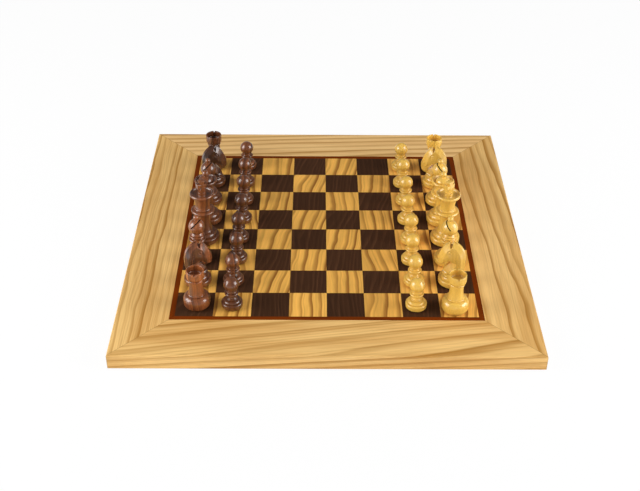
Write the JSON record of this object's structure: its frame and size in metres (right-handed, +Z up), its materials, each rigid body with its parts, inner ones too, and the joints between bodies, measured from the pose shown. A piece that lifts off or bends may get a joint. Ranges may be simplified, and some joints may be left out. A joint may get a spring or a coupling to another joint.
{
  "type": "chess set",
  "caption": "Framed wooden chessboard with inlaid dark and light squares and a full set of turned, lacquered chessmen standing in their starting rows, each free to lift off.",
  "frame": {"origin": "centre of the board's underside, on the surface it rests on", "axes": "+X towards the light men, the right of the picture; +Y away from the viewer; +Z up, out of the playing face"},
  "size_m": [0.4, 0.4, 0.088],
  "materials": {
    "frame_wood": "satin lacquer",
    "border_veneer": "satin lacquer",
    "dark_veneer": "satin lacquer",
    "light_veneer": "satin lacquer",
    "core_wood": "plain, hidden",
    "dark_lacquered_wood": "gloss lacquer, cloth disc under the foot",
    "light_lacquered_wood": "gloss lacquer, cloth disc under the foot"
  },
  "bodies": {
    "board": {"frame_front": "frame_wood", "frame_back": "frame_wood", "frame_left": "frame_wood", "frame_right": "frame_wood", "corner_splines": "frame_wood", "core_panel": "core_wood", "backing_veneer": "light_veneer", "border_front": "border_veneer", "border_back": "border_veneer", "border_left": "border_veneer", "border_right": "border_veneer", "light_squares": "light_veneer", "dark_squares": "dark_veneer"},
    "dark_king_piece": {"dark_king": "dark_lacquered_wood", "dark_king_finial": "dark_lacquered_wood"},
    "dark_queen_piece": {"dark_queen": "dark_lacquered_wood"},
    "dark_rook_near_piece": {"dark_rook_near": "dark_lacquered_wood"},
    "dark_knight_near_piece": {"dark_knight_base_near": "dark_lacquered_wood", "dark_knight_head_near": "dark_lacquered_wood"},
    "dark_bishop_near_piece": {"dark_bishop_near": "dark_lacquered_wood"},
    "dark_rook_far_piece": {"dark_rook_far": "dark_lacquered_wood"},
    "dark_knight_far_piece": {"dark_knight_base_far": "dark_lacquered_wood", "dark_knight_head_far": "dark_lacquered_wood"},
    "dark_bishop_far_piece": {"dark_bishop_far": "dark_lacquered_wood"},
    "dark_pawn_1_piece": {"dark_pawn_1": "dark_lacquered_wood"},
    "dark_pawn_2_piece": {"dark_pawn_2": "dark_lacquered_wood"},
    "dark_pawn_3_piece": {"dark_pawn_3": "dark_lacquered_wood"},
    "dark_pawn_4_piece": {"dark_pawn_4": "dark_lacquered_wood"},
    "dark_pawn_5_piece": {"dark_pawn_5": "dark_lacquered_wood"},
    "dark_pawn_6_piece": {"dark_pawn_6": "dark_lacquered_wood"},
    "dark_pawn_7_piece": {"dark_pawn_7": "dark_lacquered_wood"},
    "dark_pawn_8_piece": {"dark_pawn_8": "dark_lacquered_wood"},
    "light_king_piece": {"light_king": "light_lacquered_wood", "light_king_finial": "light_lacquered_wood"},
    "light_queen_piece": {"light_queen": "light_lacquered_wood"},
    "light_rook_near_piece": {"light_rook_near": "light_lacquered_wood"},
    "light_knight_near_piece": {"light_knight_base_near": "light_lacquered_wood", "light_knight_head_near": "light_lacquered_wood"},
    "light_bishop_near_piece": {"light_bishop_near": "light_lacquered_wood"},
    "light_rook_far_piece": {"light_rook_far": "light_lacquered_wood"},
    "light_knight_far_piece": {"light_knight_base_far": "light_lacquered_wood", "light_knight_head_far": "light_lacquered_wood"},
    "light_bishop_far_piece": {"light_bishop_far": "light_lacquered_wood"},
    "light_pawn_1_piece": {"light_pawn_1": "light_lacquered_wood"},
    "light_pawn_2_piece": {"light_pawn_2": "light_lacquered_wood"},
    "light_pawn_3_piece": {"light_pawn_3": "light_lacquered_wood"},
    "light_pawn_4_piece": {"light_pawn_4": "light_lacquered_wood"},
    "light_pawn_5_piece": {"light_pawn_5": "light_lacquered_wood"},
    "light_pawn_6_piece": {"light_pawn_6": "light_lacquered_wood"},
    "light_pawn_7_piece": {"light_pawn_7": "light_lacquered_wood"},
    "light_pawn_8_piece": {"light_pawn_8": "light_lacquered_wood"}
  },
  "joints": [
    {"name": "dark_king_piece_lift", "type": "slide", "parent": "board", "child": "dark_king_piece", "axis": [0, 0, 1], "range_m": [0, 0.1]},
    {"name": "dark_queen_piece_lift", "type": "slide", "parent": "board", "child": "dark_queen_piece", "axis": [0, 0, 1], "range_m": [0, 0.1]},
    {"name": "dark_rook_near_piece_lift", "type": "slide", "parent": "board", "child": "dark_rook_near_piece", "axis": [0, 0, 1], "range_m": [0, 0.1]},
    {"name": "dark_knight_near_piece_lift", "type": "slide", "parent": "board", "child": "dark_knight_near_piece", "axis": [0, 0, 1], "range_m": [0, 0.1]},
    {"name": "dark_bishop_near_piece_lift", "type": "slide", "parent": "board", "child": "dark_bishop_near_piece", "axis": [0, 0, 1], "range_m": [0, 0.1]},
    {"name": "dark_rook_far_piece_lift", "type": "slide", "parent": "board", "child": "dark_rook_far_piece", "axis": [0, 0, 1], "range_m": [0, 0.1]},
    {"name": "dark_knight_far_piece_lift", "type": "slide", "parent": "board", "child": "dark_knight_far_piece", "axis": [0, 0, 1], "range_m": [0, 0.1]},
    {"name": "dark_bishop_far_piece_lift", "type": "slide", "parent": "board", "child": "dark_bishop_far_piece", "axis": [0, 0, 1], "range_m": [0, 0.1]},
    {"name": "dark_pawn_1_piece_lift", "type": "slide", "parent": "board", "child": "dark_pawn_1_piece", "axis": [0, 0, 1], "range_m": [0, 0.1]},
    {"name": "dark_pawn_2_piece_lift", "type": "slide", "parent": "board", "child": "dark_pawn_2_piece", "axis": [0, 0, 1], "range_m": [0, 0.1]},
    {"name": "dark_pawn_3_piece_lift", "type": "slide", "parent": "board", "child": "dark_pawn_3_piece", "axis": [0, 0, 1], "range_m": [0, 0.1]},
    {"name": "dark_pawn_4_piece_lift", "type": "slide", "parent": "board", "child": "dark_pawn_4_piece", "axis": [0, 0, 1], "range_m": [0, 0.1]},
    {"name": "dark_pawn_5_piece_lift", "type": "slide", "parent": "board", "child": "dark_pawn_5_piece", "axis": [0, 0, 1], "range_m": [0, 0.1]},
    {"name": "dark_pawn_6_piece_lift", "type": "slide", "parent": "board", "child": "dark_pawn_6_piece", "axis": [0, 0, 1], "range_m": [0, 0.1]},
    {"name": "dark_pawn_7_piece_lift", "type": "slide", "parent": "board", "child": "dark_pawn_7_piece", "axis": [0, 0, 1], "range_m": [0, 0.1]},
    {"name": "dark_pawn_8_piece_lift", "type": "slide", "parent": "board", "child": "dark_pawn_8_piece", "axis": [0, 0, 1], "range_m": [0, 0.1]},
    {"name": "light_king_piece_lift", "type": "slide", "parent": "board", "child": "light_king_piece", "axis": [0, 0, 1], "range_m": [0, 0.1]},
    {"name": "light_queen_piece_lift", "type": "slide", "parent": "board", "child": "light_queen_piece", "axis": [0, 0, 1], "range_m": [0, 0.1]},
    {"name": "light_rook_near_piece_lift", "type": "slide", "parent": "board", "child": "light_rook_near_piece", "axis": [0, 0, 1], "range_m": [0, 0.1]},
    {"name": "light_knight_near_piece_lift", "type": "slide", "parent": "board", "child": "light_knight_near_piece", "axis": [0, 0, 1], "range_m": [0, 0.1]},
    {"name": "light_bishop_near_piece_lift", "type": "slide", "parent": "board", "child": "light_bishop_near_piece", "axis": [0, 0, 1], "range_m": [0, 0.1]},
    {"name": "light_rook_far_piece_lift", "type": "slide", "parent": "board", "child": "light_rook_far_piece", "axis": [0, 0, 1], "range_m": [0, 0.1]},
    {"name": "light_knight_far_piece_lift", "type": "slide", "parent": "board", "child": "light_knight_far_piece", "axis": [0, 0, 1], "range_m": [0, 0.1]},
    {"name": "light_bishop_far_piece_lift", "type": "slide", "parent": "board", "child": "light_bishop_far_piece", "axis": [0, 0, 1], "range_m": [0, 0.1]},
    {"name": "light_pawn_1_piece_lift", "type": "slide", "parent": "board", "child": "light_pawn_1_piece", "axis": [0, 0, 1], "range_m": [0, 0.1]},
    {"name": "light_pawn_2_piece_lift", "type": "slide", "parent": "board", "child": "light_pawn_2_piece", "axis": [0, 0, 1], "range_m": [0, 0.1]},
    {"name": "light_pawn_3_piece_lift", "type": "slide", "parent": "board", "child": "light_pawn_3_piece", "axis": [0, 0, 1], "range_m": [0, 0.1]},
    {"name": "light_pawn_4_piece_lift", "type": "slide", "parent": "board", "child": "light_pawn_4_piece", "axis": [0, 0, 1], "range_m": [0, 0.1]},
    {"name": "light_pawn_5_piece_lift", "type": "slide", "parent": "board", "child": "light_pawn_5_piece", "axis": [0, 0, 1], "range_m": [0, 0.1]},
    {"name": "light_pawn_6_piece_lift", "type": "slide", "parent": "board", "child": "light_pawn_6_piece", "axis": [0, 0, 1], "range_m": [0, 0.1]},
    {"name": "light_pawn_7_piece_lift", "type": "slide", "parent": "board", "child": "light_pawn_7_piece", "axis": [0, 0, 1], "range_m": [0, 0.1]},
    {"name": "light_pawn_8_piece_lift", "type": "slide", "parent": "board", "child": "light_pawn_8_piece", "axis": [0, 0, 1], "range_m": [0, 0.1]}
  ]
}
